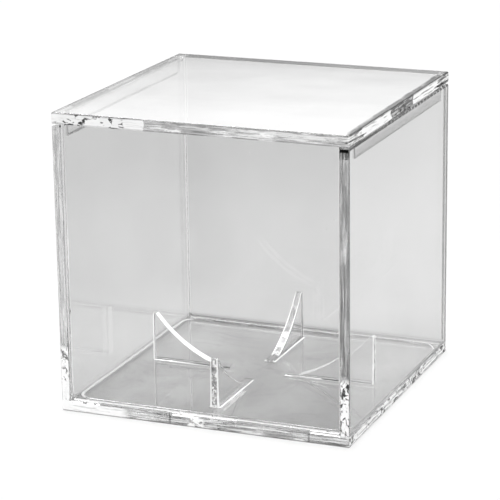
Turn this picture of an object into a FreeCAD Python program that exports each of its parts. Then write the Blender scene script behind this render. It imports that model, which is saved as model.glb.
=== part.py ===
import FreeCAD, Part
import math
import os

from FreeCAD import Vector

# Clear display cube for a hand-sized ball, in mm.
# Frame: origin at the centre of the underside, +Z up, front face towards -Y.
# Two interlocking U-shaped halves. The base is the floor with the left and
# right walls and the ball cradle. The cover is the lid with its lips and the
# front and back walls, which slide down between the side walls. The cover
# lifts straight off along +Z.

# ---- driving dimensions ----------------------------------------------------
CUBE = 82.0            # outside width, depth and height
PLATE_T = 3.0          # floor and lid thickness
WALL_T = 2.6           # thickness of the four walls
CORNER_R = 0.5         # plan radius of the four vertical corners
EDGE_R = 0.4           # rounding of the outer horizontal edges
SEAM_EASE = 0.25       # bevel on the outer edges along a horizontal seam
UPRIGHT_EASE = 0.2     # bevel on the vertical edges where walls meet
TOP_EASE = 0.4         # bevel on the outer top edge of a side wall
LEAD_IN = 0.3          # bevel that guides the cover on
LOW_CORNER = 0.6       # bevel on the lower corners of the front and back walls

BEAD_X = 37.9          # floor bead: middle of its left and right runs
BEAD_Y = 36.5          # middle of its front and back runs
BEAD_R = 4.0           # its corner radius, at the middle of the bead
BEAD_W = 0.8
BEAD_H = 0.3
BEAD_EDGE_R = 0.26     # rounding of its top edges
BEAD_ROOT = 0.5        # how far it is sunk into the floor to join it

SIDE_GAP = 0.10        # inside of a side wall to the end of the front or back wall
SIDE_TOP_GAP = 0.55    # side wall top to the underside of the lid
REST_GAP = 0.10        # front and back wall foot to the top of the floor

TAB_LEN = 20.6         # locating tab, along the edge
TAB_POS = 19.6         # tab centre from the middle of the edge
TAB_BEVEL = 0.2        # bevel on the long edges of a tab's tip
TAB_ROOT = 0.4         # how far a tab runs into its wall to join it
FOOT_TAB_T = 1.2       # tab under the front or back wall, across the wall
FOOT_TAB_H = 1.4       # how far it enters the floor
FOOT_TAB_BACK = 0.9    # how far it stands back from the outer face
FOOT_POCKET_DEPTH = 1.6
TOP_TAB_T = 0.7        # tab on top of a side wall, across the wall
TOP_TAB_H = 1.7        # how far it enters the lid
TOP_POCKET_DEPTH = 1.9
POCKET_END_GAP = 0.15
POCKET_SIDE_GAP = 0.15

LIP_T = 1.2            # lip under the lid, lapped into the inside of each side wall
LIP_H = 3.9
LIP_LEN = 70.8
LIP_GAP = 0.15         # air round the lip in its recess
LIP_BEVEL = 0.25       # bevel on its long lower edges
LIP_END_R = 1.0        # rounding of its lower corners

BALL_R = 37.3          # ball that the cube is made for (not part of the cube)
SEAT_GAP = 1.4         # air between ball and cradle curve
FIN_OUT = 31.6         # outer end of a fin from the middle
FIN_IN = 8.2           # inner end of a fin from the middle
FIN_TOP = 16.7         # height of the fin tip above the underside
FIN_TAIL_H = 0.5       # lowest height of the fin above the floor
FIN_FOOT_T = 2.6       # fin thickness at the floor
FIN_TIP_T = 2.0        # fin thickness at the tip
FIN_BLANK_T = 4.0      # thickness before the flanks are drafted
FIN_TIP_R = 0.5        # rounding of the outer tip corner
FIN_EASE = 0.2         # rounding of the upper and outer edges
FLARE_W = 0.4          # how far the foot of a fin spreads on each side
FLARE_R = 0.34         # radius of the hollow curve of that spread
FLARE_PAD_H = 0.12     # height of its thin edge
FLARE_STEPS = 5        # straight steps in its quarter curve
FLARE_ROOT = 0.3       # how far it runs into the fin to join it
FLARE_SETBACK = 0.3    # how far it stops short of the fin's outer end

OVERRUN = 1.0          # how far a cutter runs past the faces that it opens

# ---- derived ---------------------------------------------------------------
HALF = CUBE / 2.0
INNER = HALF - WALL_T                   # inner face of a wall from the middle
FLOOR_TOP = PLATE_T
LID_UNDER = CUBE - PLATE_T
END_X = INNER - SIDE_GAP                # half the width of the front and back walls
SIDE_TOP = LID_UNDER - SIDE_TOP_GAP
FOOT_Z = FLOOR_TOP + REST_GAP           # underside of the front and back walls
FOOT_TAB_OUT = HALF - FOOT_TAB_BACK     # tab faces from the middle
FOOT_TAB_IN = FOOT_TAB_OUT - FOOT_TAB_T
RECESS_X = INNER + LIP_T + LIP_GAP      # back of the lip recess from the middle
RECESS_Z = LID_UNDER - LIP_H - LIP_GAP  # bottom of the lip recess
TOP_TAB_IN = RECESS_X
TOP_TAB_OUT = TOP_TAB_IN + TOP_TAB_T
BALL_Z = FLOOR_TOP + BALL_R             # ball centre
SEAT_R = BALL_R + SEAT_GAP              # radius of the cradle curve


# ---- helpers ---------------------------------------------------------------
def box(x0, x1, y0, y1, z0, z1):
    """Box between two values on each axis, given in either order."""
    low = Vector(min(x0, x1), min(y0, y1), min(z0, z1))
    return Part.makeBox(abs(x1 - x0), abs(y1 - y0), abs(z1 - z0), low)


def extrude(corners, direction):
    outline = Part.makePolygon(corners + corners[:1])
    return Part.Face(outline).extrude(direction)


def prism_x(points, x0, x1):
    """Prism along X from (y, z) points."""
    return extrude([Vector(x0, y, z) for y, z in points], Vector(x1 - x0, 0, 0))


def prism_y(points, y0, y1):
    """Prism along Y from (x, z) points."""
    return extrude([Vector(x, y0, z) for x, z in points], Vector(0, y1 - y0, 0))


def prism_z(points, z0, z1):
    """Prism along Z from (x, y) points."""
    return extrude([Vector(x, y, z0) for x, y in points], Vector(0, 0, z1 - z0))


def to_side(points, side):
    """Section drawn on the positive side, moved to side -1 or +1."""
    return [(side * across, other) for across, other in points]


def bevel_cutter(u, v, out_u, out_v, size):
    """Section that bevels the corner (u, v); out_u and out_v (-1 or +1) point out of it."""
    far_u, far_v = u + out_u * OVERRUN, v + out_v * OVERRUN
    return [(far_u, far_v), (u - out_u * (size + OVERRUN), far_v), (u - out_u * size, v),
            (u, v - out_v * size), (far_u, v - out_v * size)]


def near(a, b, tol=1e-4):
    return abs(a - b) < tol


def edges_at_height(shape, z):
    return [e for e in shape.Edges if near(e.BoundBox.ZMin, z) and near(e.BoundBox.ZMax, z)]


def is_vertical(edge):
    start, end = edge.Vertexes[0].Point, edge.Vertexes[-1].Point
    return near(start.x, end.x) and near(start.y, end.y)


def rounded_block(half_x, half_y, radius, z0, z1):
    block = box(-half_x, half_x, -half_y, half_y, z0, z1)
    return block.makeFillet(radius, [e for e in block.Edges if is_vertical(e)])


def one_solid(shape):
    """Merge split faces and unwrap the single solid."""
    merged = shape.removeSplitter()
    assert len(merged.Solids) == 1, len(merged.Solids)
    return merged.Solids[0] if merged.ShapeType == "Compound" else merged


def save(node, shape):
    solid = one_solid(shape)
    assert solid.isValid(), node
    solid.exportStep("parts/" + node + ".step")


# ---- tabs and pockets ------------------------------------------------------
def tab_section(inner, outer, root, tip):
    """Section (across, height) of a tab whose tip is bevelled to find its pocket."""
    shoulder = tip - math.copysign(TAB_BEVEL, tip - root)
    return [(inner, root), (outer, root), (outer, shoulder), (outer - TAB_BEVEL, tip),
            (inner + TAB_BEVEL, tip), (inner, shoulder)]


def span_along(end, gap=0.0):
    """Both ends, along the edge, of the tab at end -1 or +1, widened by gap."""
    reach = TAB_LEN / 2.0 + gap
    return end * TAB_POS - reach, end * TAB_POS + reach


def span_across(side, inner, outer):
    """Both sides, across the wall, of the pocket for a tab between inner and outer."""
    return side * (inner - POCKET_SIDE_GAP), side * (outer + POCKET_SIDE_GAP)


# ---- floor and lid ---------------------------------------------------------
def plate(z0, z1, rounded_z):
    block = rounded_block(HALF, HALF, CORNER_R, z0, z1)
    return block.makeFillet(EDGE_R, edges_at_height(block, rounded_z))


def floor_bead():
    # Low rounded ring that keeps the feet of the front and back walls from
    # being pushed inwards.
    k = BEAD_W / 2.0
    z0, z1 = FLOOR_TOP - BEAD_ROOT, FLOOR_TOP + BEAD_H
    outside = rounded_block(BEAD_X + k, BEAD_Y + k, BEAD_R + k, z0, z1)
    inside = rounded_block(BEAD_X - k, BEAD_Y - k, BEAD_R - k, z0 - OVERRUN, z1 + OVERRUN)
    ring = outside.cut(inside)
    return ring.makeFillet(BEAD_EDGE_R, edges_at_height(ring, z1))


def floor_panel():
    panel = plate(0.0, FLOOR_TOP, 0.0).fuse(floor_bead())
    for side in (-1, 1):
        across = span_across(side, FOOT_TAB_IN, FOOT_TAB_OUT)
        for end in (-1, 1):
            panel = panel.cut(box(*span_along(end, POCKET_END_GAP), *across,
                                  FLOOR_TOP - FOOT_POCKET_DEPTH, FLOOR_TOP + OVERRUN))
        # eased upper edge along the seam under the front or back wall
        cutter = bevel_cutter(side * HALF, FLOOR_TOP, side, 1, SEAM_EASE)
        panel = panel.cut(prism_x(cutter, -INNER, INNER))
    return panel


def lid_panel():
    panel = plate(LID_UNDER, CUBE, CUBE)
    for side in (-1, 1):
        across = span_across(side, TOP_TAB_IN, TOP_TAB_OUT)
        for end in (-1, 1):
            panel = panel.cut(box(*across, *span_along(end, POCKET_END_GAP),
                                  LID_UNDER - OVERRUN, LID_UNDER + TOP_POCKET_DEPTH))
        # eased lower edge along the seam over the side wall
        cutter = bevel_cutter(side * HALF, LID_UNDER, side, -1, SEAM_EASE)
        panel = panel.cut(prism_y(cutter, -HALF - OVERRUN, HALF + OVERRUN))
    return panel


def lid_lip(side):
    outer = INNER + LIP_T
    bottom = LID_UNDER - LIP_H
    section = [(INNER, LID_UNDER), (INNER, bottom + LIP_BEVEL), (INNER + LIP_BEVEL, bottom),
               (outer - LIP_BEVEL, bottom), (outer, bottom + LIP_BEVEL), (outer, LID_UNDER)]
    lip = prism_y(to_side(section, side), -LIP_LEN / 2.0, LIP_LEN / 2.0)
    end_edges = [e for e in edges_at_height(lip, bottom) if near(e.BoundBox.YMin, e.BoundBox.YMax)]
    return lip.makeFillet(LIP_END_R, end_edges)


# ---- side walls, standing on the floor over its full depth -----------------
def side_panel(side):
    section = [(INNER, FLOOR_TOP), (HALF, FLOOR_TOP), (HALF, SIDE_TOP - TOP_EASE),
               (HALF - TOP_EASE, SIDE_TOP), (INNER + LEAD_IN, SIDE_TOP),
               (INNER, SIDE_TOP - LEAD_IN)]
    panel = prism_y(to_side(section, side), -HALF, HALF)
    # trimmed to the rounded vertical corners of the cube
    panel = panel.common(rounded_block(HALF, HALF, CORNER_R, 0, CUBE))
    # eased inner vertical edges, beside the front and back walls
    for end in (-1, 1):
        cutter = bevel_cutter(side * INNER, end * HALF, -side, end, UPRIGHT_EASE)
        panel = panel.cut(prism_z(cutter, 0, CUBE))
    # recess for the lid's lip along the inside of the top edge
    reach = LIP_LEN / 2.0 + LIP_GAP
    panel = panel.cut(box(side * (INNER - OVERRUN), side * RECESS_X, -reach, reach,
                          RECESS_Z, SIDE_TOP + OVERRUN))
    tab = tab_section(TOP_TAB_IN, TOP_TAB_OUT, SIDE_TOP - TAB_ROOT, LID_UNDER + TOP_TAB_H)
    for end in (-1, 1):
        panel = panel.fuse(prism_y(to_side(tab, side), *span_along(end)))
    return panel


# ---- front and back walls, hanging from the lid between the side walls -----
def end_panel(side):
    section = [(INNER, LID_UNDER), (INNER, FOOT_Z + LEAD_IN), (INNER + LEAD_IN, FOOT_Z),
               (HALF - SEAM_EASE, FOOT_Z), (HALF, FOOT_Z + SEAM_EASE), (HALF, LID_UNDER)]
    panel = prism_x(to_side(section, side), -END_X, END_X)
    for end in (-1, 1):
        # eased vertical edges, outside then inside
        for face_y, outward in ((HALF, 1), (INNER, -1)):
            cutter = bevel_cutter(end * END_X, side * face_y, end, side * outward, UPRIGHT_EASE)
            panel = panel.cut(prism_z(cutter, 0, LID_UNDER))
        # lead-in at the lower corner
        cutter = bevel_cutter(end * END_X, FOOT_Z, end, -1, LOW_CORNER)
        panel = panel.cut(prism_y(cutter, side * (INNER - OVERRUN), side * (HALF + OVERRUN)))
    tab = tab_section(FOOT_TAB_IN, FOOT_TAB_OUT, FOOT_Z + TAB_ROOT, FLOOR_TOP - FOOT_TAB_H)
    for end in (-1, 1):
        panel = panel.fuse(prism_x(to_side(tab, side), *span_along(end)))
    return panel


# ---- ball cradle: four upright fins, each drawn along +X -------------------
def seat_reach(z):
    """Distance of the cradle curve from the ball's vertical axis at height z."""
    return math.sqrt(SEAT_R ** 2 - (BALL_Z - z) ** 2)


def fin_blank():
    # The upper edge is an arc centred on the ball. The tail runs inwards low
    # over the floor and the tip is a short flat.
    tail_z = FLOOR_TOP + FIN_TAIL_H
    tail_x, tip_x = seat_reach(tail_z), seat_reach(FIN_TOP)
    mid_angle = 0.5 * (math.asin(tail_x / SEAT_R) + math.asin(tip_x / SEAT_R))
    arc_mid = Vector(SEAT_R * math.sin(mid_angle), 0, BALL_Z - SEAT_R * math.cos(mid_angle))
    corners = [Vector(x, 0, z) for x, z in (
        (FIN_IN, FLOOR_TOP), (FIN_IN, tail_z), (tail_x, tail_z),
        (tip_x, FIN_TOP), (FIN_OUT, FIN_TOP), (FIN_OUT, FLOOR_TOP))]
    edges = [Part.makeLine(a, b) for a, b in zip(corners, corners[1:] + corners[:1])]
    edges[2] = Part.Arc(corners[2], arc_mid, corners[3]).toShape()
    blank = Part.Face(Part.Wire(edges)).extrude(Vector(0, FIN_BLANK_T, 0))
    blank.translate(Vector(0, -FIN_BLANK_T / 2.0, 0))
    tip_edges = [e for e in edges_at_height(blank, FIN_TOP)
                 if near(e.BoundBox.XMin, FIN_OUT) and near(e.BoundBox.XMax, FIN_OUT)]
    return blank.makeFillet(FIN_TIP_R, tip_edges)


def flare_section():
    """Section (y, z) of the hollow-curved spread at the foot of the +Y flank."""
    root = FIN_FOOT_T / 2.0 - FLARE_ROOT
    edge = FIN_FOOT_T / 2.0 + FLARE_W
    curve_z = FLOOR_TOP + FLARE_PAD_H + FLARE_R
    points = [(root, FLOOR_TOP), (edge, FLOOR_TOP)]
    for k in range(FLARE_STEPS + 1):
        angle = math.radians(270.0 - 90.0 / FLARE_STEPS * k)
        points.append((edge + FLARE_R * math.cos(angle), curve_z + FLARE_R * math.sin(angle)))
    points.append((root, curve_z))
    return points


def fin():
    # drafted flanks: thicker at the floor than at the tip
    foot, tip = FIN_FOOT_T / 2.0, FIN_TIP_T / 2.0
    draft = [(-foot, FLOOR_TOP), (foot, FLOOR_TOP), (tip, FIN_TOP), (-tip, FIN_TOP)]
    body = one_solid(fin_blank().common(prism_x(draft, 0, FIN_OUT + OVERRUN)))
    # eased upper and outer edges, leaving out those that cross the fin
    flank_edges = [e for e in body.Edges
                   if e.BoundBox.ZMax > FLOOR_TOP + FIN_TAIL_H + 0.2
                   and not near(e.BoundBox.YMin, -e.BoundBox.YMax, 1e-3)]
    # guards the fillet, which can fail on the thin tip; the edges then stay sharp
    try:
        eased = body.makeFillet(FIN_EASE, flank_edges)
        if eased.isValid() and len(eased.Solids) == 1:
            body = eased
    except Exception:
        pass
    for side in (-1, 1):
        flare = prism_x(to_side(flare_section(), side), FIN_IN, FIN_OUT - FLARE_SETBACK)
        body = body.fuse(flare)
    return one_solid(body)


# ---- build -----------------------------------------------------------------
os.makedirs("parts", exist_ok=True)

save("floor_panel", floor_panel())
save("lid_panel", lid_panel())
for name, side in (("left", -1), ("right", 1)):
    save(name + "_side_panel", side_panel(side))
    save(name + "_lid_lip", lid_lip(side))
for name, side in (("front", -1), ("back", 1)):
    save(name + "_panel", end_panel(side))
for name, angle in (("right", 0), ("back", 90), ("left", 180), ("front", 270)):
    cradle_fin = fin()
    cradle_fin.rotate(Vector(0, 0, 0), Vector(0, 0, 1), angle)
    save(name + "_cradle_fin", cradle_fin)
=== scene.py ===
"""A clear acrylic display cube in a soft white studio.

The cube stands on z = 0, centred on the Z axis, with its front towards -Y and its right
towards +X. A floor and a lid close four walls; four curved fins stand on the floor, and two
lips hang under the lid. The shapes come from the CAD; this script adds the acrylic, the
studio and the camera.
"""
import math
from functools import cached_property
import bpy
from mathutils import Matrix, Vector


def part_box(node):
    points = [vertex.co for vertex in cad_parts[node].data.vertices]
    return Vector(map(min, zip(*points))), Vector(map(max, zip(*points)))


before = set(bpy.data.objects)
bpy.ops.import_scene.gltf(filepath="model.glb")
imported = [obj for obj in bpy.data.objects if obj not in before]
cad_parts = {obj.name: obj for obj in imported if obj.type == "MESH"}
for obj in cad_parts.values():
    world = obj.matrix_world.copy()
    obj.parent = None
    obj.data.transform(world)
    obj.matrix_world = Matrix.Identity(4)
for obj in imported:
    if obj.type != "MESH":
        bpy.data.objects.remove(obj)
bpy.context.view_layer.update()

from types import SimpleNamespace

import bpy
from mathutils import Matrix, Vector

MM = 0.001
scene = bpy.context.scene

# ---------------------------------------------------------------- sizes
FIN_LO, FIN_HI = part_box("right_cradle_fin")
LIP_LO, LIP_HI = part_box("right_lid_lip")
wall_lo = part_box("right_side_panel")[0]
lid_lo, lid_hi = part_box("lid_panel")
front_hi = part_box("front_panel")[1]
CUBE = lid_hi.z                        # outside height
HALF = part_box("floor_panel")[1].x      # half the outside width
FLOOR_TOP = wall_lo.z                  # top of the floor plate, without its bead
LID_UNDER = lid_lo.z
INNER_X = wall_lo.x                    # inner face of the side walls
END_X = front_hi.x                     # half the width of the front and back walls
END_Y = -front_hi.y                    # inner face of the front and back walls
EDGE_OUT = HALF - 0.05 * MM            # the fade that picks out an outer edge face
EDGE_IN = HALF - 0.25 * MM
BEAD_CLEAR = FLOOR_TOP + 0.03 * MM     # anything above this stands proud of the floor plate


# ---------------------------------------------------------------- shader graph helpers
class Signal:
    """A number in a shader graph. Arithmetic adds Math nodes, operands in written order."""

    def __init__(self, graph, socket):
        self.graph = graph
        self.socket = socket

    def __add__(self, other):
        return self.graph.math("ADD", self, other)

    def __radd__(self, other):
        return self.graph.math("ADD", other, self)

    def __sub__(self, other):
        return self.graph.math("SUBTRACT", self, other)

    def __rsub__(self, other):
        return self.graph.math("SUBTRACT", other, self)

    def __mul__(self, other):
        return self.graph.math("MULTIPLY", self, other)

    def __truediv__(self, other):
        return self.graph.math("DIVIDE", self, other)

    def __gt__(self, other):
        return self.graph.math("GREATER_THAN", self, other)

    def __lt__(self, other):
        return self.graph.math("LESS_THAN", self, other)

    def __abs__(self):
        return self.graph.math("ABSOLUTE", self)

    def near(self, target, tolerance):
        return self.graph.math("COMPARE", self, target, tolerance)

    def max(self, *others):
        result = self
        for other in others:
            result = self.graph.math("MAXIMUM", result, other)
        return result

    def ramp(self, start, end, low=0.0, high=1.0, smooth=True):
        """Go from low to high as this goes from start to end, and hold beyond them."""
        node = self.graph.node(
            "ShaderNodeMapRange",
            {"Value": self, "From Min": start, "From Max": end, "To Min": low, "To Max": high},
            interpolation_type="SMOOTHSTEP" if smooth else "LINEAR", clamp=True)
        return Signal(self.graph, node.outputs["Result"])

    def mix(self, at_zero, at_one):
        """Blend two values, with this as the factor."""
        inputs = {0: self, 2: at_zero, 3: at_one}
        node = self.graph.node("ShaderNodeMix", inputs, data_type="FLOAT")
        return Signal(self.graph, node.outputs[0])


class Graph:
    """Small builder for a shader graph."""

    def __init__(self, tree):
        self.tree = tree
        self.tree.nodes.clear()
        self.next_x = 0

    def node(self, kind, inputs=None, **settings):
        node = self.tree.nodes.new(kind)
        node.location = (self.next_x, 0)
        self.next_x += 180
        for key, value in settings.items():
            setattr(node, key, value)
        for key, value in (inputs or {}).items():
            self.put(node.inputs[key], value)
        return node

    def put(self, socket, value):
        if isinstance(value, Signal):
            value = value.socket
        if isinstance(value, bpy.types.NodeSocket):
            self.tree.links.new(value, socket)
        elif value is not None:
            socket.default_value = value

    def math(self, operation, a, b=None, c=None):
        node = self.node("ShaderNodeMath", {0: a, 1: b, 2: c}, operation=operation)
        return Signal(self, node.outputs[0])

    def output(self, kind, name):
        """A signal from a named output of a new node."""
        return Signal(self, self.node(kind).outputs[name])

    def split(self, vector):
        node = self.node("ShaderNodeSeparateXYZ", {0: vector})
        return [Signal(self, socket) for socket in node.outputs]

    def grey(self, value):
        return self.node("ShaderNodeCombineColor", {i: value for i in range(3)}).outputs[0]

    def constant_grey(self, value):
        node = self.node("ShaderNodeValue")
        node.outputs[0].default_value = value
        return self.grey(node.outputs[0])

    def noise(self, vector, scale, detail=2.0, rough=0.5, twist=0.0):
        node = self.node("ShaderNodeTexNoise", {
            "Vector": vector, "Scale": scale, "Detail": detail,
            "Roughness": rough, "Distortion": twist})
        return Signal(self, node.outputs["Fac"])

    def mix_shader(self, factor, at_zero, at_one):
        return self.node("ShaderNodeMixShader", {0: factor, 1: at_zero, 2: at_one}).outputs[0]


# ---------------------------------------------------------------- acrylic: shared parts
class Sheet:
    """One acrylic piece: its shader graph and the coordinates its parts share."""

    def __init__(self, name, kind, thin, seed):
        self.name, self.kind, self.thin = name, kind, thin
        self.material = bpy.data.materials.new("acrylic_" + name)
        self.material.use_nodes = True
        self.graph = g = Graph(self.material.node_tree)
        local = g.node("ShaderNodeTexCoord").outputs["Object"]
        self.x, self.y, self.z = g.split(local)
        # each piece samples its noise at its own offset
        offset = (seed * 0.37, seed * 0.11, seed * 0.23)
        shift = g.node("ShaderNodeVectorMath", {0: local, 1: offset}, operation="ADD")
        self.place = shift.outputs[0]
        geometry = g.node("ShaderNodeNewGeometry")
        self.normal = g.split(geometry.outputs["True Normal"])
        self.inside = Signal(g, geometry.outputs["Backfacing"])
        self.edge = abs(self.normal[thin]).ramp(start=0.75, end=0.45)

    @cached_property
    def ax(self):
        return abs(self.x)

    @cached_property
    def ay(self):
        return abs(self.y)

    def noise(self, scale, detail=2.0, rough=0.5, twist=0.0):
        return self.graph.noise(self.place, scale, detail, rough, twist)

    def stretched(self, across, along, detail, rough=0.6, twist=0.0):
        """Noise scaled one way across the sheet's thickness and another along it."""
        scale = [across if i == self.thin else along for i in range(3)]
        mapping = self.graph.node("ShaderNodeMapping", {"Vector": self.place, "Scale": scale})
        return self.graph.noise(mapping.outputs[0], 1.0, detail, rough, twist)

    def hairlines(self, rotation, scale, threshold):
        inputs = {"Vector": self.place, "Rotation": rotation, "Scale": scale}
        mapping = self.graph.node("ShaderNodeMapping", inputs)
        lines = self.graph.noise(mapping.outputs[0], scale=60.0, detail=3.0, rough=0.6)
        return lines.ramp(start=threshold, end=threshold + 0.03)

    def marks(self, name):
        return self.stretched(**EDGE_MARKS[name])

    def front_edge(self):
        return self.y.ramp(start=-EDGE_OUT, end=-EDGE_IN, low=1.0, high=0.0)

    def right_edge(self):
        return self.x.ramp(start=EDGE_IN, end=EDGE_OUT)


def between(value, low, high):
    return (value > low) * (value < high)


def soft_between(value, low, high, soft):
    """1 between two places, with soft ends; all three in mm."""
    low, high, soft = low * MM, high * MM, soft * MM
    rise = value.ramp(start=low - soft, end=low + soft)
    return rise * value.ramp(start=high - soft, end=high + soft, low=1.0, high=0.0)


def weld_mask(sheet):
    """1 on the faces where two pieces are solvent-welded, which are optically closed."""
    ax, ay = sheet.ax, sheet.ay
    tolerance = 0.004 * MM
    if sheet.kind in ("floor", "side", "fin"):
        joint = sheet.z.near(FLOOR_TOP, tolerance)
    else:
        joint = sheet.z.near(LID_UNDER, tolerance)
    if sheet.kind == "floor":
        fins_x = between(ax, FIN_LO.x, FIN_HI.x) * (ay < FIN_HI.y)
        fins_y = between(ay, FIN_LO.x, FIN_HI.x) * (ax < FIN_HI.y)
        return joint * (ax > INNER_X).max(fins_x.max(fins_y))
    if sheet.kind == "lid":
        ends = (ay > END_Y) * (ax < END_X)
        lips = between(ax, LIP_LO.x, LIP_HI.x) * (ay < LIP_HI.y)
        return joint * ends.max(lips)
    return joint


# ---------------------------------------------------------------- acrylic: edge zones of painted highlight and shade
# Each zone function returns (white, dark): soft masks, stretched along the outer edges, of painted
# highlight and painted shade where the tabs, pockets and glue behind whiten or darken the edges as
# seen through them. A plain factor on a mask is that mark's strength, from 0 to 1.
EDGE_MARKS = {
    # thin lines along the edge
    "lines": dict(across=2300.0, along=110.0, detail=3.0),
    # short irregular marks
    "blobs": dict(across=620.0, along=330.0, detail=3.0, twist=0.8),
    # smaller, rounder marks
    "fine": dict(across=760.0, along=560.0, detail=3.0, twist=0.8),
    # where the marks gather
    "broad": dict(across=160.0, along=120.0, detail=2.0, twist=0.4),
}
# the parts of the "lines" noise that show as dark and as white lines
DARK_LINES = dict(start=0.56, end=0.61)
WHITE_LINES = dict(start=0.47, end=0.42)


def lid_zones(sheet):
    lines, blobs, broad = [sheet.marks(name) for name in ("lines", "blobs", "broad")]
    dark_lines, white_lines = lines.ramp(**DARK_LINES), lines.ramp(**WHITE_LINES)
    front, right = sheet.front_edge(), sheet.right_edge()
    wander = (broad - 0.5) * (9.0 * MM)         # makes the zone ends irregular
    ay = abs(sheet.y) + wander
    left_third = front * (sheet.x + wander).ramp(
        start=-15.2 * MM, end=-14.4 * MM, low=1.0, high=0.0)
    rest = front - left_third
    tabs = right * soft_between(ay, low=9.0, high=30.6, soft=0.7)
    middle = right * (ay < 9.0 * MM)
    outer = right * (ay > 30.0 * MM)

    white = left_third * 0.80 + tabs * 0.90
    white = white + (outer + middle) * (white_lines * 0.8)
    white = white + rest * white_lines * 0.55

    middle_dark = (blobs.ramp(start=0.56, end=0.60) * 0.85).max(0.45)
    gathered = blobs.ramp(start=0.53, end=0.57) * broad.ramp(start=0.44, end=0.50)
    dark = (middle * middle_dark).max(
        left_third * (gathered * 0.95),
        left_third * (dark_lines * 0.30),
        (tabs + outer) * (dark_lines * 0.75),
        rest * (dark_lines * 0.42))
    return white, dark


def floor_zones(sheet):
    lines, fine, broad = [sheet.marks(name) for name in ("lines", "fine", "broad")]
    dark_lines, white_lines = lines.ramp(**DARK_LINES), lines.ramp(**WHITE_LINES)
    x = sheet.x
    front, right = sheet.front_edge(), sheet.right_edge()
    left = x.ramp(start=-EDGE_OUT, end=-EDGE_IN, low=1.0, high=0.0)
    left_quarter = front * x.ramp(start=-24.0 * MM, end=-20.0 * MM, low=1.0, high=0.0)
    rest = front - left_quarter
    block = front * soft_between(x, low=-4.4, high=0.6, soft=0.8) * fine.ramp(start=0.44, end=0.50)
    # painted highlight on the short end walls of the foot tabs' pockets
    ax = abs(x)
    pocket_ends = ax.near(9.15 * MM, 0.12 * MM).max(ax.near(30.05 * MM, 0.12 * MM))
    pocket_ends = pocket_ends * (abs(sheet.y) < 40.45 * MM)

    white = (left_quarter * 0.92 + rest * (white_lines * 0.6)).max(
        block * 0.9,
        right * lines.ramp(start=0.56, end=0.46, low=0.35, high=0.80),
        left * 0.5,
        pocket_ends * 0.85)

    spots = fine.ramp(start=0.52, end=0.57) * broad.ramp(start=0.42, end=0.50)
    ticks = soft_between(x, low=-9.5, high=-9.0, soft=0.1).max(
        soft_between(x, low=29.6, high=30.1, soft=0.1))
    dark = (right * (dark_lines * 0.22).max(spots * 0.82)).max(
        left_quarter * (dark_lines * 0.35),
        front * (ticks * 0.6),
        rest * (dark_lines * 0.45))
    return white, dark


def side_zones(sheet):
    is_right = sheet.name.startswith("right")
    lines, fine = sheet.marks("lines"), sheet.marks("fine")
    z = sheet.z
    front = sheet.front_edge()
    foot = front * z.ramp(start=17.0 * MM, end=19.5 * MM, low=1.0, high=0.0)
    shaft = front - foot
    white = foot * fine.ramp(start=0.56, end=0.50, low=0.10, high=0.92)
    dark = foot * fine.ramp(start=0.53, end=0.58, high=0.80 if is_right else 0.70)
    if is_right:
        dark = dark.max(
            shaft * lines.ramp(start=0.42, end=0.58, low=0.05, high=0.40),
            front * z.ramp(start=77.4 * MM, end=77.8 * MM, high=0.97))
        return white.max(shaft * lines.ramp(start=0.40, end=0.34, high=0.40)), dark
    # sparser on the left, mostly near the top of the whitened part
    sparse = sheet.marks("broad").ramp(start=0.50, end=0.56)
    sparse = sparse.max(z.ramp(start=13.0 * MM, end=15.5 * MM))
    dark = (dark * sparse).max(shaft * lines.ramp(start=0.50, end=0.60, low=0.02, high=0.22))
    white = white.max(
        foot * ((1.0 - sparse) * 0.85),
        shaft * (lines.ramp(**WHITE_LINES) * 0.35))
    return white, dark


def no_zones(sheet):
    none = sheet.marks("lines") * 0.0
    return none, none


ZONES = {"lid": lid_zones, "floor": floor_zones, "side": side_zones}


# ---------------------------------------------------------------- acrylic: painted rim shade
# Painted shade: thin dark lines where the rounded outer edges turn the light away, and darker
# bands along the right of the lid and under the back wall. Factors are strengths, as above.
TOP_MM = CUBE / MM
HALF_MM = HALF / MM


def beyond(value, limit, soft=0.06):
    """1 past a limit, with a soft start; both in mm."""
    return value.ramp(start=(limit - soft) * MM, end=(limit + soft) * MM)


def at_rim(value):
    return beyond(value, limit=HALF_MM - 0.26)


def lid_rim(sheet, patch):
    x, z = sheet.x, sheet.z
    front = at_rim(sheet.y * -1.0)
    left = beyond(x * -1.0, limit=HALF_MM - 0.52)
    crown = beyond(z, limit=TOP_MM - 0.34) * (left * 0.72).max(front * 0.45)
    uneven = (patch - 0.5) * (3.0 * MM)
    right_band = beyond(x + uneven, limit=HALF_MM - 1.5, soft=0.35)
    right_band = right_band * beyond(z, limit=TOP_MM - 0.42)
    under = z.ramp(
        start=LID_UNDER + 0.25 * MM, end=LID_UNDER + 0.40 * MM, low=1.0, high=0.0) * front
    side_pocket = between(abs(x), 39.3 * MM, 40.75 * MM)
    side_pocket = side_pocket * (z > LID_UNDER + 0.03 * MM) * (z < LID_UNDER + 1.86 * MM)
    side_pocket = side_pocket * (abs(sheet.y) < 30.2 * MM)
    return crown.max(right_band * 0.40, under * 0.40, side_pocket * 0.60)


def floor_rim(sheet):
    outline = at_rim(sheet.y * -1.0).max(at_rim(sheet.x), at_rim(sheet.x * -1.0))
    foot = sheet.z.ramp(start=0.30 * MM, end=0.50 * MM, low=1.0, high=0.0) * (outline * 0.62)
    rear = beyond(sheet.y, limit=34.6, soft=0.3) * (sheet.z > BEAD_CLEAR)
    return foot.max(rear * 0.24)


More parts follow.
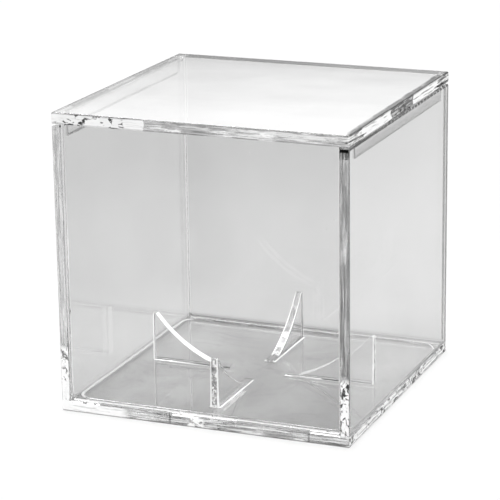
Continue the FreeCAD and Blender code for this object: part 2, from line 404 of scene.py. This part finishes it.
def rim_shade(sheet, patch):
    if sheet.kind == "lid":
        return lid_rim(sheet, patch)
    if sheet.kind == "floor":
        return floor_rim(sheet)
    if sheet.name == "left_side_panel":
        return at_rim(sheet.x * -1.0) * beyond(sheet.y * -1.0, limit=HALF_MM - 0.5) * 0.45
    if sheet.name == "back_panel":
        return sheet.z.ramp(
            start=FLOOR_TOP + 0.2 * MM, end=FLOOR_TOP + 1.3 * MM, low=0.24, high=0.0)
    return sheet.x * 0.0


# ---------------------------------------------------------------- acrylic: haze and tone
def fin_haze(sheet, look, saw, patch):
    """Matte veil of a fin, the faces it lies on, and its (white, dark) zones of painted highlight
    and shade.
    """
    run, width = (sheet.ax, sheet.ay) if sheet.thin == 1 else (sheet.ay, sheet.ax)
    reach = FIN_HI.x
    up = sheet.normal[2]
    # the curved edge and the outer end are matte, clearer along the middle of the edge
    middle = width.ramp(start=0.95 * MM, end=0.55 * MM)
    middle = middle * patch.ramp(start=0.32, end=0.50) * look.core
    veil = middle.mix(look.frost, look.frost * 0.12) * up.ramp(start=0.995, end=0.985)
    # the upright outer end is clearer than the curved edge
    upright = abs(up).ramp(start=0.3, end=0.1) * saw.ramp(start=0.40, end=0.56)
    veil = veil * upright.mix(1.0, look.end_clear)
    # painted highlight: the eased outer corner is whitened from top to bottom
    corner = run.ramp(start=reach - 0.40 * MM, end=reach - 0.25 * MM) * (1.0 - sheet.edge)
    veil = veil * run.ramp(start=9.5 * MM, end=16.0 * MM, low=0.30)
    veil = veil.max(corner * look.corner)
    edge = sheet.edge.max(corner)
    if look.end_clear == 1.0:
        return veil, edge, no_zones(sheet)

    # painted highlight and shade: the outer end shows bright borders round a blotchy darker middle
    border = width.ramp(start=0.62 * MM, end=0.85 * MM)
    end_face = abs(up).ramp(start=0.3, end=0.1)
    end_face = end_face * run.ramp(start=reach - 0.3 * MM, end=reach - 0.1 * MM)
    spots = sheet.noise(scale=620.0, detail=3.0, rough=0.6, twist=0.5)
    white = end_face * (border * 0.85).max(spots.ramp(start=0.48, end=0.42, high=0.75))
    dark = end_face * ((1.0 - border) * spots.ramp(start=0.52, end=0.60, high=0.60))
    if sheet.thin == 0:
        # the joint line at the foot of the front and back fins is white
        foot_line = sheet.z.ramp(
            start=FLOOR_TOP + 0.25 * MM, end=FLOOR_TOP + 0.42 * MM, low=0.75, high=0.0)
        foot_line = foot_line * width.ramp(start=0.9 * MM, end=1.1 * MM)
        veil = veil.max(foot_line)
        edge = edge.max(foot_line)
    return veil, edge, (white, dark)


def panel_haze(sheet, look, saw):
    """Frost of a panel's edges, the faces it lies on, and its (white, dark) zones of painted
    highlight and shade.
    """
    patches = sheet.stretched(across=700.0, along=130.0, detail=4.0, rough=0.65)
    white = patches.ramp(start=0.54, end=0.66)
    veil = look.frost * 0.4 + saw * look.frost + white * look.patchy
    return veil, sheet.edge, ZONES.get(sheet.kind, no_zones)(sheet)


def sheet_tone(sheet, look, saw, patch, dust):
    """The sheet's own tone, very slightly grey and a little uneven, with painted shade on its
    edges and on the lips.
    """
    clouds = sheet.noise(scale=30.0, detail=3.0, rough=0.55, twist=1.2)
    tone = look.clarity - clouds.ramp(start=0.35, end=0.65) * look.cloud
    if sheet.kind == "floor":
        # faint curved darker lines
        flow = sheet.noise(scale=42.0, detail=2.0, rough=0.5, twist=2.4)
        tone = tone - abs(flow - 0.5).ramp(start=0.0, end=0.030, low=0.045, high=0.0)
    if sheet.kind == "lip":
        # painted shade: darker, with an uneven darker line along the lower edge
        line_z = (LIP_LO.z + 0.9 * MM) + sheet.noise(scale=90.0, detail=2.0) * (1.4 * MM)
        tone = tone * (sheet.z - line_z).ramp(
            start=-0.5 * MM, end=0.5 * MM, low=1.0 - 1.7 * look.dull, high=1.0 - look.dull)
    # painted shade: the edges are darkened in streaks along the tool marks and in patches
    edge_shade = saw.ramp(start=0.35, end=0.62, low=look.edge_tone)
    edge_shade = edge_shade * patch.ramp(start=0.50, end=0.66, low=1.0, high=0.5 + 0.5 * look.edge_tone)
    return tone * sheet.edge.mix(1.0, edge_shade) - dust * 0.12


def weld_shader(sheet):
    """Nearly invisible joint, with faint grey blotches."""
    blotches = sheet.noise(scale=300.0, detail=2.0).ramp(start=0.52, end=0.66)
    tone = 0.985 - blotches * 0.10
    if sheet.kind in ("lid", "end"):
        # the back wall's joint is darker than the front wall's
        tone = tone * sheet.y.ramp(start=37.0 * MM, end=38.0 * MM, low=1.0, high=0.84)
    g = sheet.graph
    return g.node("ShaderNodeBsdfTransparent", {"Color": g.grey(tone)}).outputs[0]


def acrylic(name, kind, thin, seed, look):
    sheet = Sheet(name, kind, thin, seed)
    g = sheet.graph

    # hairline scratches in two directions, and specks of dust
    scratch = sheet.hairlines(rotation=(0.4, 0.9, 0.7), scale=(60, 1.2, 1.2), threshold=0.70)
    scratch = scratch.max(
        sheet.hairlines(rotation=(1.1, 0.2, -0.5), scale=(1.2, 80, 1.2), threshold=0.715))
    specks = g.node("ShaderNodeTexVoronoi", {"Vector": sheet.place, "Scale": 420.0})
    dust = Signal(g, specks.outputs["Distance"]).ramp(start=0.055, end=0.03)
    dust = dust * sheet.noise(scale=90.0, detail=1.0).ramp(start=0.55, end=0.62)

    # moulded waviness: a long, shallow swell and a finer ripple; the edges also have
    # fine tool marks along them and uneven patches, which also place the painted edge shade
    swell = sheet.noise(scale=38.0, detail=1.0, rough=0.4)
    ripple = sheet.noise(scale=210.0, detail=2.0, rough=0.5)
    saw = sheet.stretched(across=2600.0, along=55.0, detail=2.0, rough=0.55)
    if kind == "fin":
        patch = sheet.noise(scale=52.0, detail=2.0, rough=0.5, twist=0.3)
    else:
        patch = sheet.noise(scale=150.0, detail=3.0, rough=0.6, twist=0.6)
    height = swell * (0.9 * look.wave) + ripple * (0.06 * look.wave)
    height = height + saw * sheet.edge * 0.5 + patch * sheet.edge * 0.8
    bump = g.node("ShaderNodeBump", {"Strength": 1.0, "Distance": 0.00006, "Height": height})

    rough = 0.004 + scratch * 0.10 + dust * 0.25 + sheet.edge * look.edge_rough
    tone = sheet_tone(sheet, look, saw, patch, dust)

    if kind == "fin":
        veil, edge, (white, dark) = fin_haze(sheet, look, saw, patch)
    else:
        veil, edge, (white, dark) = panel_haze(sheet, look, saw)
    # haze and zones are fainter on faces seen from inside the acrylic
    veil = veil * edge * (1.0 - sheet.inside * 0.8) + dust * 0.5
    if kind == "floor":
        # the low bead along the side walls is satin; its painted highlight is strong on the left
        # and faint on the right
        bead = (sheet.z > BEAD_CLEAR) * sheet.ax.ramp(start=34.5 * MM, end=36.0 * MM)
        bead = bead * sheet.x.ramp(start=-5.0 * MM, end=5.0 * MM, low=0.45, high=0.04)
        veil = veil.max(bead)
    seen = edge * (1.0 - sheet.inside * 0.85)
    # painted shade from the edge zones and the rims darkens the glass
    dark = (dark * seen).max(rim_shade(sheet, patch))
    veil = veil.max(white * seen) * (1.0 - dark)

    glass = g.node("ShaderNodeBsdfGlass", {
        "IOR": 1.49, "Roughness": rough, "Normal": bump.outputs[0],
        "Color": g.grey(tone * (1.0 - dark))}, distribution="GGX")
    haze = g.node("ShaderNodeBsdfDiffuse", {"Color": g.constant_grey(look.haze_tone)})
    surface = g.mix_shader(veil, glass.outputs[0], haze.outputs[0])
    surface = g.mix_shader(weld_mask(sheet), surface, weld_shader(sheet))
    g.node("ShaderNodeOutputMaterial", {"Surface": surface})
    return sheet.material


# ---------------------------------------------------------------- acrylic: the pieces
PANEL_LOOK = dict(
    clarity=0.988,      # tone of the clear sheet
    wave=1.0,           # strength of the waviness
    frost=0.10,         # haze on the edges
    edge_rough=0.05,    # extra roughness on the edges
    edge_tone=0.86,     # tone of the painted shade on the edges
    cloud=0.012,        # depth of the clouds
    dull=0.0,           # painted shade on a lip
    patchy=0.0,         # strength of the white edge patches
    haze_tone=0.95,     # tone of the haze itself
)
FIN_LOOK = PANEL_LOOK | dict(
    wave=0.6, frost=0.95, edge_rough=0.10, haze_tone=1.0,
    core=1.0,           # how clear the middle of the curved edge is
    end_clear=0.25,     # haze left on the upright outer end
    corner=0.2,         # strength of the painted highlight on the outer corner
)
# piece: (kind, axis across its thickness, look); its place in the table seeds its noise
PIECES = {
    "back_cradle_fin": ("fin", 0, FIN_LOOK),
    "back_panel": ("end", 1, PANEL_LOOK),
    "floor_panel": ("floor", 2, PANEL_LOOK | dict(edge_tone=0.84, cloud=0.06, patchy=0.6)),
    "front_cradle_fin": ("fin", 0, FIN_LOOK),
    "front_panel": ("end", 1, PANEL_LOOK),
    "left_cradle_fin": ("fin", 1, FIN_LOOK | dict(core=0.0, end_clear=1.0, corner=0.55)),
    "left_lid_lip": ("lip", 0, PANEL_LOOK | dict(dull=0.01)),
    "left_side_panel": ("side", 0, PANEL_LOOK | dict(edge_tone=0.97, patchy=0.35)),
    "lid_panel": ("lid", 2, PANEL_LOOK | dict(edge_tone=0.74, patchy=0.7)),
    "right_cradle_fin": ("fin", 1, FIN_LOOK | dict(frost=0.5, core=0.3)),
    "right_lid_lip": ("lip", 0, PANEL_LOOK | dict(dull=0.16)),
    "right_side_panel": ("side", 0, PANEL_LOOK | dict(edge_tone=0.50)),
}
for seed, (name, (kind, thin, look)) in enumerate(PIECES.items(), start=1):
    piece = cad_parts[name]
    material = acrylic(name, kind, thin, seed, SimpleNamespace(**look))
    if not piece.material_slots:
        piece.data.materials.append(material)
    for slot in piece.material_slots:
        slot.material = material

# ---------------------------------------------------------------- stage and studio light
# A white tent with an overhead softbox. Straight behind the cube, as seen through it, the
# tent is shaded grey, so that the clear walls read against it, and there is a dark gap
# between the tent wall and the softbox that draws the rounded edges.
BOOST = 1.45                           # extra soft light on what stands inside the cube
AMBIENT = 1.15                         # plain level of the tent
BEARING = 22.397                       # of the camera, in degrees from -Y towards +X
COS_B = math.cos(math.radians(BEARING))
SIN_B = math.sin(math.radians(BEARING))


def sector(g, dx, dy, bearing, inner, outer):
    """1 where the direction points along a bearing, falling to 0 outside it; degrees."""
    angle = math.radians(bearing)
    along = dx * math.sin(angle) + dy * -math.cos(angle)
    flat = g.math("SQRT", dx * dx + dy * dy)
    cosine = along / flat.max(1e-5)
    return cosine.ramp(start=math.cos(math.radians(outer)), end=math.cos(math.radians(inner)))


def surround(g, dx, dy, behind, far_side, near_side, camera_side, rest):
    """Tone of the tent for a horizontal direction."""
    tone = rest
    for value, bearing, inner, outer in (
            (behind, 180 + BEARING, 14, 26),
            (far_side, 180 - BEARING, 10, 20),
            (near_side, -BEARING, 10, 20),
            (camera_side, BEARING, 10, 22)):
        tone = sector(g, dx, dy, bearing, inner, outer).mix(tone, value)
    return tone


def floor_paper():
    """White paper, with painted shade where it is seen through the acrylic."""
    material = bpy.data.materials.new("studio_floor_paper")
    material.use_nodes = True
    g = Graph(material.node_tree)
    rays = g.node("ShaderNodeLightPath").outputs
    geometry = g.node("ShaderNodeNewGeometry")
    incoming = g.split(geometry.outputs["Incoming"])
    # painted shade: seen through the acrylic, the paper takes grey tones set by the direction of
    # view
    tone = surround(g, incoming[0] * -1.0, incoming[1] * -1.0, behind=0.61, far_side=0.74,
                    near_side=0.57, camera_side=0.42, rest=0.72)
    # painted shade: a little darker from the back left to the front right, as if the light fell
    # off
    x, y, _ = g.split(geometry.outputs["Position"])
    slope = (x - y) / CUBE
    tone = tone * slope.ramp(start=-0.8, end=0.8, low=1.16, high=0.64, smooth=False)
    # and away from the camera, in two steps
    away = y * COS_B - x * SIN_B
    tone = tone * away.ramp(start=0.05, end=0.11, low=1.0, high=0.97)
    tone = tone * away.ramp(start=0.14, end=0.28, low=1.0, high=0.89)
    # and a little darker behind the left half
    across = x * COS_B + y * SIN_B
    left_half = across.ramp(start=-0.028, end=0.004, low=1.0, high=0.0)
    left_half = left_half * away.ramp(start=0.05, end=0.10)
    tone = tone * (1.0 - left_half * 0.10)
    through = Signal(g, rays["Is Transmission Ray"])
    color = g.grey(through.mix(0.93, tone * (1.0 / BOOST)))
    paper = g.node("ShaderNodeBsdfDiffuse", {"Color": color})
    # to the camera the sweep also glows white (an emission, not a lamp), which keeps the cube's
    # own shadow faint
    glow = g.node("ShaderNodeEmission", {"Color": g.constant_grey(1.0)})
    glow_share = Signal(g, rays["Is Camera Ray"]) * 0.7
    surface = g.mix_shader(glow_share, paper.outputs[0], glow.outputs[0])
    g.node("ShaderNodeOutputMaterial", {"Surface": surface})
    return material


bpy.ops.mesh.primitive_grid_add(
    x_subdivisions=2, y_subdivisions=2, size=6.0, location=(0, 0, -0.0002))
studio_floor = bpy.context.object
studio_floor.name = "studio_floor"
studio_floor.data.materials.append(floor_paper())


def build_world():
    world = bpy.data.worlds.new("soft_studio")
    scene.world = world
    world.use_nodes = True
    g = Graph(world.node_tree)
    dx, dy, dz = g.split(g.node("ShaderNodeTexCoord").outputs["Generated"])
    rays = g.node("ShaderNodeLightPath").outputs

    # seen through the acrylic: tent wall, dark gap, softbox
    wall = surround(g, dx, dy, behind=0.74, far_side=1.10, near_side=0.80,
                    camera_side=0.52, rest=1.00)
    gap = dz.ramp(start=0.36, end=0.42).mix(wall, 0.12)
    softbox = dy.ramp(start=-0.15, end=0.20, low=0.35, high=4.0)
    tent = dz.ramp(start=0.52, end=0.60).mix(gap, softbox)

    # mirrored off the outside: the white tent wall, fading towards the horizon
    mirror = dz.ramp(start=0.19, end=0.235, low=0.72, high=2.3, smooth=False)
    for start, end, level in ((0.240, 0.270, 1.1), (0.38, 0.45, 9.0), (0.72, 0.86, 2.6)):
        mirror = dz.ramp(start, end).mix(mirror, level)

    value = Signal(g, rays["Is Glossy Ray"]).mix(AMBIENT, mirror)
    value = Signal(g, rays["Is Transmission Ray"]).mix(value, tent)
    indoors = Signal(g, rays["Transmission Depth"]) > 0.5
    soft_light = indoors.mix(AMBIENT, AMBIENT * BOOST)
    value = (Signal(g, rays["Diffuse Depth"]) > 0.5).mix(value, soft_light)
    value = Signal(g, rays["Is Camera Ray"]).mix(value, 1.0)
    background = g.node("ShaderNodeBackground", {"Color": g.grey(value)})
    g.node("ShaderNodeOutputWorld", {"Surface": background.outputs[0]})


build_world()


# ---------------------------------------------------------------- camera
def build_camera(elevation, roll, place):
    """Camera on the studio bearing; angles in degrees, place in cube heights."""
    data = bpy.data.cameras.new("camera")
    camera = bpy.data.objects.new("camera", data)
    scene.collection.objects.link(camera)
    data.sensor_width = 36.0
    data.lens = 162.474
    data.clip_start = 0.01
    data.clip_end = 20.0
    tilt, roll = math.radians(elevation), math.radians(roll)
    back = Vector((SIN_B * math.cos(tilt), -COS_B * math.cos(tilt), math.sin(tilt)))
    right = (-back).cross(Vector((0, 0, 1))).normalized()
    up = right.cross(-back).normalized()
    rolled_right = right * math.cos(roll) + up * math.sin(roll)
    rolled_up = up * math.cos(roll) - right * math.sin(roll)
    pose = Matrix((rolled_right, rolled_up, back)).transposed().to_4x4()
    pose.translation = Vector(place) * CUBE
    camera.matrix_world = pose
    scene.camera = camera


build_camera(elevation=16.258, roll=-0.818, place=(2.72773, -6.69689, 2.56781))

# ---------------------------------------------------------------- light transport and tone
cycles = scene.cycles
cycles.max_bounces = 48
cycles.transmission_bounces = 48
cycles.glossy_bounces = 24
cycles.diffuse_bounces = 3
cycles.transparent_max_bounces = 48
cycles.caustics_reflective = True
cycles.caustics_refractive = True
cycles.sample_clamp_indirect = 6.0
cycles.blur_glossy = 0.0
cycles.use_denoising = True
scene.view_settings.view_transform = "Standard"
scene.view_settings.look = "None"
scene.view_settings.exposure = 0.0
scene.view_settings.gamma = 1.0
